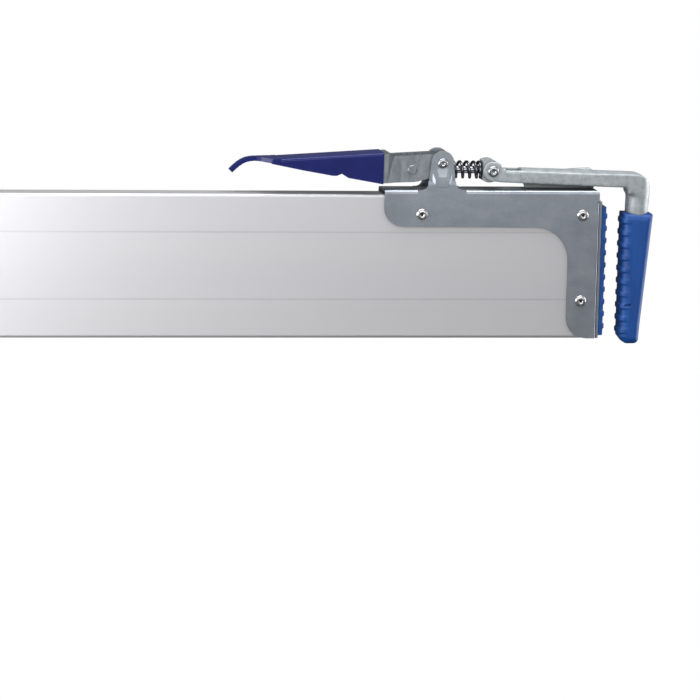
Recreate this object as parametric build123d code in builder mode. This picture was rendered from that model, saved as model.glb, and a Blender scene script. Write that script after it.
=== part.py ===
from build123d import *
import math
import os

os.makedirs("parts", exist_ok=True)

# A load-securing plank: a hollow aluminium profile with the same sprung lever clamp at each end.
# X runs along the plank, Z is up, and the origin is the middle of the plank's bottom face.
# The clamp is drawn once, at the +X end, and turned end for end for the other one. Its sketches
# measure x from the outer face of the bracket's end flange, so inboard is negative.

# Plank profile
PLANK_LENGTH = 2450.0
PLANK_HEIGHT = 150.0
PLANK_DEPTH = 30.0
PLANK_WALL = 2.0
PLANK_CORNER_R = 3.0
WEB_HEIGHTS = (54.0, 96.0)
GROOVE_HEIGHTS = (40.4, 110.4)
GROOVE_WIDTH = 1.4
GROOVE_DEPTH = 0.5

# End bracket, pressed from one sheet, whose top plate stands clear of the plank
SHEET = 2.5
TOP_GAP = 2.4
BRACKET_LENGTH = 227.5
LIMB_BOTTOM = 116.5
LIMB_INNER_X = -31.5
LIMB_OUTER_R = 21.0
LIMB_INNER_R = 35.0
FOOT_R = 23.0
BEND_R = 4.0
FLANGE_TOP = 142.0
FLANGE_RELIEF = 1.5
NOTCH_HALF = 25.5
NOTCH_INNER_Y = 11.0

# Ears and the lever pivot (A), lever pin (B) and arm pin (C)
PIVOT_X, PIVOT_Z = -167.2, 182.5
LEVER_PIN_X, LEVER_PIN_Z = -198.5, 175.2
ARM_PIN_X, ARM_PIN_Z = -113.2, 174.0
EAR_TOP_HALF = 12.0
EAR_TOP_RISE = 12.9
EAR_HALF_ROOT = 15.4
EAR_FLARE_R = 7.0
EAR_INNER_Y = 12.9
EAR_STEP_Z = 160.5
BOSS_BASE = (20.8, 21.0, 166.0)
BOSS_CROWN = (15.0, 10.5, 163.2)
BOSS_HEIGHT = 2.3
PIVOT_R = 4.0
LEVER_PIN_R = 3.5
ARM_PIN_R = 4.5
RUNNING = 0.05
SEAT_GAP = 0.02

# Blind rivets: x and z of each, and their sizes
RIVET_PLACES = ((-188.0, 129.5), (-17.4, 129.0), (-17.0, 39.3))
RIVET_BODY_R = 3.2
RIVET_HEAD_R = 6.0
RIVET_HEAD_H = 1.9
RIVET_HOLE_R = 1.5
RIVET_TAIL_R = 4.2
RIVET_TAIL_H = 4.0

# Lever: two cheeks inboard of the pivot that widen into a channel
CHEEK_INNER_Y = 10.2
CHEEK_OUTER_Y = 12.7
CHANNEL_OUTER_Y = 16.0
JOGGLE_START, JOGGLE_END = -217.0, -225.0
GRIP_START = -229.5
COAT = 1.0
LEVER_T = 2.5
CHANNEL_EDGE_R = 2.0
CAVITY_END = -341.0
CHEEK_END_R = 11.5
WEB_END_LENGTH = 9.0

# Draw rod, spring and trunnion, placed along the rod from the arm pin, outboard positive
ROD_R = 4.0
BARREL_R = 8.5
BARREL_HALF = 9.7
SPRING_SEAT = -9.9
COLLAR_FACE = -47.2
COLLAR_R = 9.2
COLLAR_T = 3.5
SPRING_MEAN_R = 8.1
SPRING_WIRE_R = 1.5
SPRING_PITCH = 7.3
SPRING_GAP = 0.35
BLOCK_R = 12.0
BLOCK_HALF = 10.0
BLOCK_CENTRE = -3.0
BLOCK_FACE = 7.5
NUT_FLATS = 12.0
NUT_HEIGHT = 3.0
ROD_END = 11.5

# Hook arm
FORK_OUTER_Y = 14.5
FORK_INNER_Y = 10.3
FORK_R = 10.4
FORK_SLOT_END = -82.0
BAR_START = -106.0
BAR_HALF = 14.0
BAR_RISE_FORK, BAR_RISE_CORNER = 14.6, 16.2
LEG_R = 12.7
LEG_FOOT_R = 7.0
LEG_TOP = (44.2, 150.0)
LEG_FOOT = (36.5, 8.0)
ELBOW_INNER_X = 31.3
CORNER_INNER_R = 4.0
CORNER_OUTER_R = 21.0
FIN_HALF = 3.0
FIN_BOTTOM = 155.3
WEDGE_CENTRE_Y, WEDGE_HALF = 9.0, 4.5

# Claw sleeve and fixed pad
CLAW_HALF = 15.0
CLAW_JAW_R, CLAW_OUTER_R = 10.0, 7.0
SLOT_PLACE, SLOT_SIZE = (34.6, 34.1), (7.5, 1.8)
RIB_PITCH = 12.8
RIB_COUNT = 10
RIB_HEIGHT = 1.3
RIB_WIDTH = 5.0
CLAW_RIB_TOP = 122.5
PAD_PLATE = 3.5
PAD_BODY = 5.1
PAD_EDGE_R = 3.0
PAD_BOTTOM, PAD_TOP = 3.0, 137.5
PAD_HALF = 15.0

END_X = PLANK_LENGTH / 2 + SHEET
PLATE_INNER_Y = PLANK_DEPTH / 2
PLATE_OUTER_Y = PLATE_INNER_Y + SHEET
BRACKET_TOP = PLANK_HEIGHT + TOP_GAP + SHEET

# Local planes of the +X clamp. On SIDE, x is along the plank and y is up.
SIDE = Plane(origin=(END_X, 0, 0), x_dir=(1, 0, 0), z_dir=(0, -1, 0))


def above(height):
    """Return the horizontal plane of the clamp at a height."""
    return Plane(origin=(END_X, 0, height), x_dir=(1, 0, 0), z_dir=(0, 0, 1))


def place(x, z):
    """Return the point of the mid-plane at a clamp x and a height."""
    return Vector(END_X + x, 0, z)


def banded(solid, heights):
    """Return the bands of a solid that lie at the given heights, each as high as a rib."""
    with BuildPart() as bands:
        for height in heights:
            with BuildSketch(above(height - RIB_WIDTH / 2)):
                Rectangle(200, 4 * CLAW_HALF)
            extrude(amount=RIB_WIDTH)
        add(solid, mode=Mode.INTERSECT)
    return bands.part


ROD_AXIS = (place(ARM_PIN_X, ARM_PIN_Z) - place(LEVER_PIN_X, LEVER_PIN_Z)).normalized()
ROD_PLANE = Plane(origin=place(ARM_PIN_X, ARM_PIN_Z), x_dir=(0, 1, 0), z_dir=ROD_AXIS)
ROD_LENGTH = (place(ARM_PIN_X, ARM_PIN_Z) - place(LEVER_PIN_X, LEVER_PIN_Z)).length

# ---------------------------------------------------------------- plank profile
with BuildPart() as plank_profile:
    with BuildSketch(Plane.YZ.offset(-PLANK_LENGTH / 2)):
        with Locations((0, PLANK_HEIGHT / 2)):
            RectangleRounded(PLANK_DEPTH, PLANK_HEIGHT, PLANK_CORNER_R)
        levels = [PLANK_WALL, *WEB_HEIGHTS, PLANK_HEIGHT - PLANK_WALL]
        floors = [levels[0]] + [z + PLANK_WALL / 2 for z in WEB_HEIGHTS]
        roofs = [z - PLANK_WALL / 2 for z in WEB_HEIGHTS] + [levels[-1]]
        for floor, roof in zip(floors, roofs):
            with Locations((0, (floor + roof) / 2)):
                RectangleRounded(PLANK_DEPTH - 2 * PLANK_WALL, roof - floor, 1.0, mode=Mode.SUBTRACT)
        for height in GROOVE_HEIGHTS:
            for side in (-1, 1):
                with Locations((side * PLANK_DEPTH / 2, height)):
                    Rectangle(2 * GROOVE_DEPTH, GROOVE_WIDTH, mode=Mode.SUBTRACT)
    extrude(amount=PLANK_LENGTH)
    for turn in (-1, 1):
        for x, z in RIVET_PLACES:
            with BuildSketch(Plane.XZ):
                with Locations((turn * (END_X + x), z)):
                    Circle(RIVET_BODY_R + SEAT_GAP)
            extrude(amount=PLANK_DEPTH, both=True, mode=Mode.SUBTRACT)

# ---------------------------------------------------------------- end bracket
with BuildPart() as end_bracket:
    # Front plate, an inverted L, and its twin behind
    with BuildSketch(SIDE.offset(PLATE_INNER_Y)):
        with BuildLine():
            FilletPolyline(
                (-BRACKET_LENGTH, BRACKET_TOP),
                (-BRACKET_LENGTH, LIMB_BOTTOM),
                (LIMB_INNER_X, LIMB_BOTTOM),
                (LIMB_INNER_X, 0),
                (0, 0),
                (0, BRACKET_TOP),
                radius=[0, LIMB_OUTER_R, LIMB_INNER_R, FOOT_R, 0, 0],
                close=True,
            )
        make_face()
    extrude(amount=SHEET)
    mirror(about=Plane.XZ)
    # Top plate and end flange
    with BuildSketch(above(BRACKET_TOP - SHEET)):
        with Locations((-BRACKET_LENGTH / 2, 0)):
            Rectangle(BRACKET_LENGTH, 2 * PLATE_OUTER_Y)
    extrude(amount=SHEET)
    with BuildSketch(above(0)):
        with Locations((-SHEET / 2, 0)):
            Rectangle(SHEET, 2 * PLATE_OUTER_Y)
    extrude(amount=FLANGE_TOP)
    # Relief at the corner where the three bends would meet, with a slot into each side plate
    with BuildSketch(above(FLANGE_TOP)):
        with Locations((-SHEET / 2, 0)):
            Rectangle(SHEET, 2 * PLATE_INNER_Y)
    extrude(amount=BRACKET_TOP - FLANGE_TOP, mode=Mode.SUBTRACT)
    with BuildSketch(above(FLANGE_TOP)):
        with Locations((-SHEET / 2, 0)):
            Rectangle(SHEET, 2 * PLATE_OUTER_Y)
    extrude(amount=FLANGE_RELIEF, mode=Mode.SUBTRACT)
    long_bends = (
        end_bracket.edges()
        .filter_by(Axis.X)
        .filter_by(lambda e: e.center().Z > BRACKET_TOP - 0.1 and abs(e.center().Y) > PLATE_OUTER_Y - 0.1)
    )
    fillet(long_bends, BEND_R)
    end_bends = (
        end_bracket.edges()
        .filter_by(Axis.Z)
        .filter_by(lambda e: e.center().X > END_X - 0.1 and abs(e.center().Y) > PLATE_OUTER_Y - 0.1)
        .filter_by(lambda e: e.length > FLANGE_TOP / 2)
    )
    fillet(end_bends, 2.2)
    # Notches that free the ears from the top plate
    with BuildSketch(above(BRACKET_TOP - SHEET)):
        for side in (-1, 1):
            with Locations((PIVOT_X, side * (NOTCH_INNER_Y + PLATE_INNER_Y + SHEET) / 2)):
                Rectangle(2 * NOTCH_HALF, PLATE_INNER_Y + SHEET - NOTCH_INNER_Y)
    extrude(amount=SHEET, mode=Mode.SUBTRACT)
    # Ear roots in the plane of the plates, with flared sides and a sloping step at the top
    with BuildSketch(SIDE.offset(PLATE_INNER_Y)):
        with BuildLine():
            FilletPolyline(
                (PIVOT_X - NOTCH_HALF, LIMB_BOTTOM + 20),
                (PIVOT_X - NOTCH_HALF, BRACKET_TOP),
                (PIVOT_X - EAR_HALF_ROOT, BRACKET_TOP),
                (PIVOT_X - EAR_HALF_ROOT + 1.0, EAR_STEP_Z + 3.5),
                (PIVOT_X + EAR_HALF_ROOT - 1.0, EAR_STEP_Z + 3.5),
                (PIVOT_X + EAR_HALF_ROOT, BRACKET_TOP),
                (PIVOT_X + NOTCH_HALF, BRACKET_TOP),
                (PIVOT_X + NOTCH_HALF, LIMB_BOTTOM + 20),
                radius=[0, 2.0, EAR_FLARE_R, 0, 0, EAR_FLARE_R, 2.0, 0],
                close=True,
            )
        make_face()
    extrude(amount=SHEET)
    with BuildSketch(Plane.YZ.offset(END_X + PIVOT_X)):
        with BuildLine():
            Polyline(
                (-PLATE_OUTER_Y - 0.1, EAR_STEP_Z - 0.5),
                (-EAR_INNER_Y - SHEET, EAR_STEP_Z + 3.6),
                (-PLATE_OUTER_Y - 0.1, EAR_STEP_Z + 3.6),
                close=True,
            )
        make_face()
    extrude(amount=EAR_HALF_ROOT + 2, both=True, mode=Mode.SUBTRACT)
    # Upper ears, set in by the step
    with BuildSketch(SIDE.offset(EAR_INNER_Y)):
        with BuildLine():
            Polyline(
                (PIVOT_X - EAR_TOP_HALF, PIVOT_Z),
                (PIVOT_X - EAR_HALF_ROOT + 0.9, BRACKET_TOP + 3),
                (PIVOT_X + EAR_HALF_ROOT - 0.9, BRACKET_TOP + 3),
                (PIVOT_X + EAR_TOP_HALF, PIVOT_Z),
            )
            ThreePointArc(
                (PIVOT_X + EAR_TOP_HALF, PIVOT_Z),
                (PIVOT_X, PIVOT_Z + EAR_TOP_RISE),
                (PIVOT_X - EAR_TOP_HALF, PIVOT_Z),
            )
        make_face()
    extrude(amount=SHEET)
    # Pressed boss that stiffens each ear below its rivet, long and shallow on its upper side
    with BuildSketch(SIDE.offset(EAR_INNER_Y + SHEET)):
        with Locations((PIVOT_X, BOSS_BASE[2])):
            RectangleRounded(BOSS_BASE[0], BOSS_BASE[1], 5.0)
    with BuildSketch(SIDE.offset(EAR_INNER_Y + SHEET + BOSS_HEIGHT)):
        with Locations((PIVOT_X, BOSS_CROWN[2])):
            RectangleRounded(BOSS_CROWN[0], BOSS_CROWN[1], 4.0)
    loft()
    # The back ear is the front one mirrored
    mirror(about=Plane.XZ)
    # Holes for the pivot rivets and the blind rivets
    with BuildSketch(SIDE):
        with Locations((PIVOT_X, PIVOT_Z)):
            Circle(PIVOT_R + SEAT_GAP)
        for x, z in RIVET_PLACES:
            with Locations((x, z)):
                Circle(RIVET_BODY_R + SEAT_GAP)
    extrude(amount=PLATE_OUTER_Y + 5, both=True, mode=Mode.SUBTRACT)

# ---------------------------------------------------------------- blind rivets
with BuildPart() as bracket_rivets:
    for x, z in RIVET_PLACES:
        for facing in (-1, 1):
            seat = Plane(
                origin=place(x, z) + Vector(0, facing * PLATE_OUTER_Y, 0),
                x_dir=(1, 0, 0),
                z_dir=(0, facing, 0),
            )
            with BuildSketch(seat):
                Circle(RIVET_HEAD_R)
            extrude(amount=RIVET_HEAD_H, taper=30)
            with BuildSketch(seat.offset(-SHEET - PLANK_WALL)):
                Circle(RIVET_BODY_R)
            extrude(amount=SHEET + PLANK_WALL)
            with BuildSketch(seat.offset(-SHEET - PLANK_WALL - RIVET_TAIL_H)):
                Circle(RIVET_TAIL_R)
            extrude(amount=RIVET_TAIL_H)
            with BuildSketch(seat.offset(RIVET_HEAD_H)):
                Circle(RIVET_HOLE_R)
            extrude(amount=-(RIVET_HEAD_H + SHEET + PLANK_WALL), mode=Mode.SUBTRACT)

# ---------------------------------------------------------------- fixed pad
with BuildPart() as pad_plate:
    with BuildSketch(above(0)):
        with Locations((PAD_PLATE / 2, 0)):
            Rectangle(PAD_PLATE, 2 * PLATE_OUTER_Y - 2 * BEND_R + 3)
    extrude(amount=FLANGE_TOP + 1.5)

with BuildPart() as end_pad:
    with BuildSketch(above(PAD_BOTTOM)):
        with Locations((PAD_PLATE + PAD_BODY / 2, 0)):
            Rectangle(PAD_BODY, 2 * PAD_HALF)
    extrude(amount=PAD_TOP - PAD_BOTTOM)
    pad_edges = end_pad.edges().filter_by(Axis.Z).filter_by(lambda e: e.center().X > END_X + PAD_PLATE + 0.1)
    fillet(pad_edges, PAD_EDGE_R)
    # Ribs, where the pad's own outline stands forward
    pad_rib_heights = [PAD_BOTTOM + (i + 0.75) * RIB_PITCH for i in range(RIB_COUNT)]
    add(banded(end_pad.part.moved(Location((RIB_HEIGHT, 0, 0))), pad_rib_heights))

# ---------------------------------------------------------------- pivot rivets
with BuildPart() as pivot_rivets:
    for facing in (-1, 1):
        axis_plane = Plane(
            origin=place(PIVOT_X, PIVOT_Z), x_dir=(1, 0, 0), z_dir=(0, facing, 0)
        )
        with BuildSketch(axis_plane.offset(CHEEK_INNER_Y + 0.3)):
            Circle(PIVOT_R)
        extrude(amount=EAR_INNER_Y + SHEET - CHEEK_INNER_Y - 0.3)
        with BuildSketch(axis_plane.offset(EAR_INNER_Y + SHEET)):
            Circle(5.4)
        extrude(amount=1.8, taper=28)
        with BuildSketch(axis_plane.offset(EAR_INNER_Y + SHEET + 1.8)):
            Circle(2.6)
        extrude(amount=-0.9, mode=Mode.SUBTRACT)

# ---------------------------------------------------------------- lever
WEB_TOP = ((-229.5, 192.5), (-347.0, 185.1))
FLANGE_EDGE = (
    (-347.0, 182.3),
    (-315.0, 175.9),
    (-283.0, 170.3),
    (-278.5, 170.3),
    (-273.6, 172.4),
    (-266.5, 168.1),
    (-229.5, 161.6),
)
TONGUE_LINE = (
    (-338.0, 184.4),
    (-345.0, 183.95),
    (-352.0, 184.5),
    (-358.0, 185.1),
    (-364.0, 185.15),
    (-368.0, 184.7),
    (-372.0, 183.75),
    (-376.0, 181.95),
    (-380.0, 179.25),
    (-384.0, 175.75),
    (-387.5, 172.3),
)
TONGUE_HALVES = ((-338.0, 16.0), (-346.0, 16.0), (-351.0, 12.0), (-356.0, 7.0), (-361.0, 3.6), (-390.0, 2.4))


def channel_outline(grow):
    """Return the side outline of the channel inside the grip, grown up and down."""
    top = [(x, z + grow) for x, z in WEB_TOP]
    edge = [(x, z - grow) for x, z in FLANGE_EDGE]
    return top + edge


def cavity_outline(grow):
    """Return the side outline of the space under the web, between the flanges."""
    start_x, start_z = WEB_TOP[0]
    end_x, end_z = WEB_TOP[1]
    fall = (start_z - end_z) / (start_x - end_x)
    roof_start = start_z - LEVER_T - grow
    roof_end = roof_start - fall * (start_x - CAVITY_END)
    return [(start_x, roof_start), (CAVITY_END, roof_end), (CAVITY_END, 140), (start_x, 140)]


def tongue_outline(grow):
    """Return the side outline of the tongue, half a sheet plus the growth to each side of its line."""
    reach = LEVER_T / 2 + grow
    before = TONGUE_LINE[:1] + TONGUE_LINE[:-1]
    after = TONGUE_LINE[1:] + TONGUE_LINE[-1:]
    over = []
    under = []
    for (x0, z0), (x, z), (x1, z1) in zip(before, TONGUE_LINE, after):
        run = math.hypot(x1 - x0, z1 - z0)
        step_x = reach * (z1 - z0) / run
        step_z = reach * (x1 - x0) / run
        over.append((x + step_x, z - step_z))
        under.append((x - step_x, z + step_z))
    return over + under[::-1]


def tongue(grow):
    """Return the hooked tongue that the web narrows to, grown all round."""
    front = [(x, -half - grow) for x, half in TONGUE_HALVES]
    back = [(x, half + grow) for x, half in TONGUE_HALVES]
    with BuildPart() as piece:
        with BuildSketch(SIDE):
            with BuildLine():
                Polyline(*tongue_outline(grow), close=True)
            make_face()
        extrude(amount=CHANNEL_OUTER_Y + grow, both=True)
        with BuildSketch(above(PLANK_HEIGHT)):
            with BuildLine():
                Polyline(*front, *back[::-1], close=True)
            make_face()
        extrude(amount=60, mode=Mode.INTERSECT)
    return piece.part


def channel(grow):
    """Return the channel with its tongue, grown all round, and hollow under the web."""
    with BuildPart() as piece:
        with BuildSketch(SIDE):
            with BuildLine():
                Polyline(*channel_outline(grow), close=True)
            make_face()
        extrude(amount=CHANNEL_OUTER_Y + grow, both=True)
        web_edges = piece.edges().filter_by(lambda e: e.length > 100)
        fillet(web_edges, CHANNEL_EDGE_R + grow)
        with BuildSketch(SIDE):
            with BuildLine():
                Polyline(*cavity_outline(grow), close=True)
            make_face()
        extrude(amount=CHANNEL_OUTER_Y - LEVER_T - grow, both=True, mode=Mode.SUBTRACT)
        add(tongue(grow))
    return piece.part


LEVER_CHANNEL = channel(0)
GRIP_CHANNEL = channel(COAT)

with BuildPart() as lever:
    # Channel inside the grip, with the web on top
    add(LEVER_CHANNEL)
    # Exposed channel, joggle and cheeks: the plan shape of the front cheek ...
    with BuildPart(mode=Mode.PRIVATE) as cheeks:
        with BuildSketch(above(PLANK_HEIGHT)):
            with BuildLine():
                Polyline(
                    (GRIP_START - 1.5, -CHANNEL_OUTER_Y),
                    (JOGGLE_END, -CHANNEL_OUTER_Y),
                    (JOGGLE_START, -CHEEK_OUTER_Y),
                    (PIVOT_X + CHEEK_END_R, -CHEEK_OUTER_Y),
                    (PIVOT_X + CHEEK_END_R, -CHEEK_INNER_Y),
                    (JOGGLE_START - 0.5, -CHEEK_INNER_Y),
                    (JOGGLE_END - 0.5, -CHANNEL_OUTER_Y + LEVER_T),
                    (GRIP_START - 1.5, -CHANNEL_OUTER_Y + LEVER_T),
                    close=True,
                )
            make_face()
            mirror(about=Plane.XZ)
        extrude(amount=50)
        # ... cut to the side outline of the cheeks ...
        with BuildSketch(SIDE):
            with BuildLine():
                Polyline(
                    (PIVOT_X, PIVOT_Z - CHEEK_END_R),
                    (-178.0, 168.0),
                    (-186.0, 164.8),
                    (-195.0, 162.6),
                    (GRIP_START - 1.5, 161.5),
                    (GRIP_START - 1.5, 192.4),
                    (-222.6, 192.8),
                    (-219.0, 189.6),
                    (-176.0, 192.0),
                    (PIVOT_X, PIVOT_Z + CHEEK_END_R),
                )
                ThreePointArc(
                    (PIVOT_X, PIVOT_Z + CHEEK_END_R),
                    (PIVOT_X + CHEEK_END_R, PIVOT_Z),
                    (PIVOT_X, PIVOT_Z - CHEEK_END_R),
                )
            make_face()
        extrude(amount=CHANNEL_OUTER_Y, both=True, mode=Mode.INTERSECT)
        # ... and joined next to the grip by the short end of the web
        with BuildSketch(above(WEB_TOP[0][1] - LEVER_T)):
            with Locations((GRIP_START - 1.5 + WEB_END_LENGTH / 2, 0)):
                Rectangle(WEB_END_LENGTH, 2 * CHANNEL_OUTER_Y - 2)
        extrude(amount=LEVER_T)
    add(cheeks.part)
    with BuildSketch(SIDE):
        with Locations((PIVOT_X, PIVOT_Z)):
            Circle(PIVOT_R + RUNNING)
        with Locations((LEVER_PIN_X, LEVER_PIN_Z)):
            Circle(LEVER_PIN_R + SEAT_GAP)
    extrude(amount=20, both=True, mode=Mode.SUBTRACT)

# ---------------------------------------------------------------- handle grip
with BuildPart() as handle_grip:
    add(GRIP_CHANNEL)
    add(lever.part, mode=Mode.SUBTRACT)

# ---------------------------------------------------------------- lever pin
with BuildPart() as lever_pin:
    with BuildSketch(Plane(origin=place(LEVER_PIN_X, LEVER_PIN_Z), x_dir=(1, 0, 0), z_dir=(0, -1, 0))):
        Circle(LEVER_PIN_R)
    extrude(amount=CHEEK_OUTER_Y, both=True)
    for facing in (-1, 1):
        outer = Plane(
            origin=place(LEVER_PIN_X, LEVER_PIN_Z) + Vector(0, facing * CHEEK_OUTER_Y, 0),
            x_dir=(1, 0, 0),
            z_dir=(0, facing, 0),
        )
        with BuildSketch(outer):
            Circle(5.0)
        extrude(amount=0.7, taper=45)

# ---------------------------------------------------------------- draw rod and what it carries
with BuildPart() as rod_barrel:
    barrel_plane = Plane(origin=place(LEVER_PIN_X, LEVER_PIN_Z), x_dir=(1, 0, 0), z_dir=(0, -1, 0))
    with BuildSketch(barrel_plane):
        Circle(BARREL_R)
        Circle(LEVER_PIN_R + RUNNING, mode=Mode.SUBTRACT)
    extrude(amount=BARREL_HALF, both=True)
    with BuildSketch(ROD_PLANE.offset(-ROD_LENGTH + LEVER_PIN_R + 1.0)):
        Circle(ROD_R + SEAT_GAP)
    extrude(amount=BARREL_R, mode=Mode.SUBTRACT)

with BuildPart() as draw_rod:
    with BuildSketch(ROD_PLANE.offset(-ROD_LENGTH + LEVER_PIN_R + 1.2)):
        Circle(ROD_R)
    extrude(amount=ROD_LENGTH - LEVER_PIN_R - 1.2 + ROD_END)
    chamfer(draw_rod.edges().filter_by(GeomType.CIRCLE).sort_by(Axis.X)[-1], 0.8)

with BuildPart() as rod_collar:
    with BuildSketch(ROD_PLANE.offset(COLLAR_FACE - COLLAR_T)):
        Circle(COLLAR_R)
        Circle(ROD_R + SEAT_GAP, mode=Mode.SUBTRACT)
    extrude(amount=COLLAR_T)
    chamfer(rod_collar.edges().filter_by(GeomType.CIRCLE).sort_by(SortBy.RADIUS)[-2:], 0.6)

with BuildPart() as lock_nut:
    with BuildSketch(ROD_PLANE.offset(BLOCK_FACE + 0.1)):
        RegularPolygon(NUT_FLATS / 2, 6, major_radius=False)
        Circle(ROD_R + SEAT_GAP, mode=Mode.SUBTRACT)
    extrude(amount=NUT_HEIGHT)

with BuildPart() as spring:
    SPRING_LENGTH = SPRING_SEAT - COLLAR_FACE - 2 * (SPRING_WIRE_R + SPRING_GAP)
    coil_start = ROD_PLANE.offset(COLLAR_FACE + SPRING_WIRE_R + SPRING_GAP).origin
    with BuildLine() as coil:
        Helix(SPRING_PITCH, SPRING_LENGTH, SPRING_MEAN_R, center=coil_start, direction=ROD_AXIS)
    with BuildSketch(Plane(origin=coil.line @ 0, z_dir=coil.line % 0)):
        Circle(SPRING_WIRE_R)
    sweep(path=coil.line)

with BuildPart() as trunnion_block:
    with BuildSketch(ROD_PLANE.offset(SPRING_SEAT)):
        Rectangle(2 * BLOCK_HALF, 2 * BLOCK_R)
    extrude(amount=BLOCK_FACE - SPRING_SEAT)
    block_plane = Plane(
        origin=ROD_PLANE.offset(BLOCK_CENTRE).origin, x_dir=ROD_AXIS, z_dir=(0, -1, 0)
    )
    with BuildSketch(block_plane):
        Circle(BLOCK_R)
    extrude(amount=BLOCK_HALF, both=True, mode=Mode.INTERSECT)
    with BuildSketch(ROD_PLANE.offset(SPRING_SEAT - 5)):
        Circle(ROD_R + RUNNING)
    extrude(amount=40, mode=Mode.SUBTRACT)
    for facing in (-1, 1):
        with BuildSketch(
            Plane(origin=place(ARM_PIN_X, ARM_PIN_Z), x_dir=(1, 0, 0), z_dir=(0, facing, 0)).offset(5.4)
        ):
            Circle(ARM_PIN_R + SEAT_GAP)
        extrude(amount=BLOCK_HALF, mode=Mode.SUBTRACT)

with BuildPart() as arm_pins:
    for facing in (-1, 1):
        axis_plane = Plane(
            origin=place(ARM_PIN_X, ARM_PIN_Z), x_dir=(1, 0, 0), z_dir=(0, facing, 0)
        )
        with BuildSketch(axis_plane.offset(5.5)):
            Circle(ARM_PIN_R)
        extrude(amount=FORK_OUTER_Y + 0.2 - 5.5)
        with BuildSketch(axis_plane.offset(FORK_OUTER_Y + 0.2)):
            Circle(6.0)
        extrude(amount=1.7, taper=30)
        with BuildSketch(axis_plane.offset(FORK_OUTER_Y + 1.9)):
            Circle(2.6)
        extrude(amount=-1.2, mode=Mode.SUBTRACT)

# ---------------------------------------------------------------- hook arm
BAR_SLOPE = math.tan(math.radians(2.3))


def bar_z(x, rise):
    """Return the height of a line along the bar, above its underside."""
    return 162.65 - (x + 103.0) * BAR_SLOPE + rise


with BuildPart() as hook_arm:
    # Bar and rounded corner in side view
    corner_x = LEG_TOP[0] + LEG_R
    with BuildSketch(SIDE):
        with BuildLine():
            FilletPolyline(
                (BAR_START, bar_z(BAR_START, 0)),
                (ELBOW_INNER_X, bar_z(ELBOW_INNER_X, 0)),
                (ELBOW_INNER_X, LEG_TOP[1]),
                (corner_x, LEG_TOP[1]),
                (corner_x, bar_z(corner_x, BAR_RISE_CORNER)),
                (BAR_START, bar_z(BAR_START, BAR_RISE_FORK)),
                radius=[0, CORNER_INNER_R, 0, 0, CORNER_OUTER_R, 0],
                close=True,
            )
        make_face()
    extrude(amount=BAR_HALF, both=True)
    # In plan the bar narrows to the corner, which is round where it turns into the leg
    with BuildSketch(above(100)):
        with BuildLine():
            Polyline(
                (2 * BAR_START, -BAR_HALF),
                (0, -BAR_HALF),
                (LEG_TOP[0], -LEG_R),
                (LEG_TOP[0], LEG_R),
                (0, BAR_HALF),
                (2 * BAR_START, BAR_HALF),
                close=True,
            )
        make_face()
        with Locations((LEG_TOP[0], 0)):
            Circle(LEG_R)
    extrude(amount=120, mode=Mode.INTERSECT)
    # Leg, a round taper that leans back under the corner
    with BuildSketch(Plane(origin=place(*LEG_FOOT), x_dir=(1, 0, 0), z_dir=(0, 0, 1))):
        Circle(LEG_FOOT_R)
    with BuildSketch(Plane(origin=place(*LEG_TOP), x_dir=(1, 0, 0), z_dir=(0, 0, 1))):
        Circle(LEG_R)
    loft()
    # Fork cheeks round the arm pins, and the slot between them
    with BuildSketch(SIDE):
        with Locations((ARM_PIN_X, ARM_PIN_Z)):
            Circle(FORK_R)
        with BuildLine():
            Polyline(
                (ARM_PIN_X, ARM_PIN_Z - FORK_R),
                (-84.0, bar_z(-84.0, 0)),
                (-84.0, bar_z(-84.0, 11.5)),
                (-103.5, bar_z(-103.5, 12.5)),
                (ARM_PIN_X, ARM_PIN_Z),
                close=True,
            )
        make_face()
    extrude(amount=FORK_OUTER_Y, both=True)
    with BuildSketch(above(120)):
        with Locations((FORK_SLOT_END - 30, 0)):
            Rectangle(60, 2 * FORK_INNER_Y)
    extrude(amount=100, mode=Mode.SUBTRACT)
    # Guide fin under the bar and wedge rib on its top
    with BuildSketch(SIDE):
        with BuildLine():
            Polyline(
                (-79.0, bar_z(-79.0, 0.5)),
                (-76.0, FIN_BOTTOM),
                (-4.0, FIN_BOTTOM),
                (-2.0, bar_z(-2.0, 0.5)),
                close=True,
            )
        make_face()
    extrude(amount=FIN_HALF, both=True)
    with BuildSketch(SIDE.offset(-WEDGE_CENTRE_Y)):
        with BuildLine():
            Polyline(
                (-56.0, bar_z(-56.0, 13.0)),
                (-7.0, bar_z(-7.0, 18.4)),
                (-1.0, bar_z(-1.0, 13.0)),
                close=True,
            )
        make_face()
    extrude(amount=WEDGE_HALF, both=True)
    with BuildSketch(SIDE):
        with Locations((ARM_PIN_X, ARM_PIN_Z)):
            Circle(ARM_PIN_R + RUNNING)
    extrude(amount=20, both=True, mode=Mode.SUBTRACT)

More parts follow.
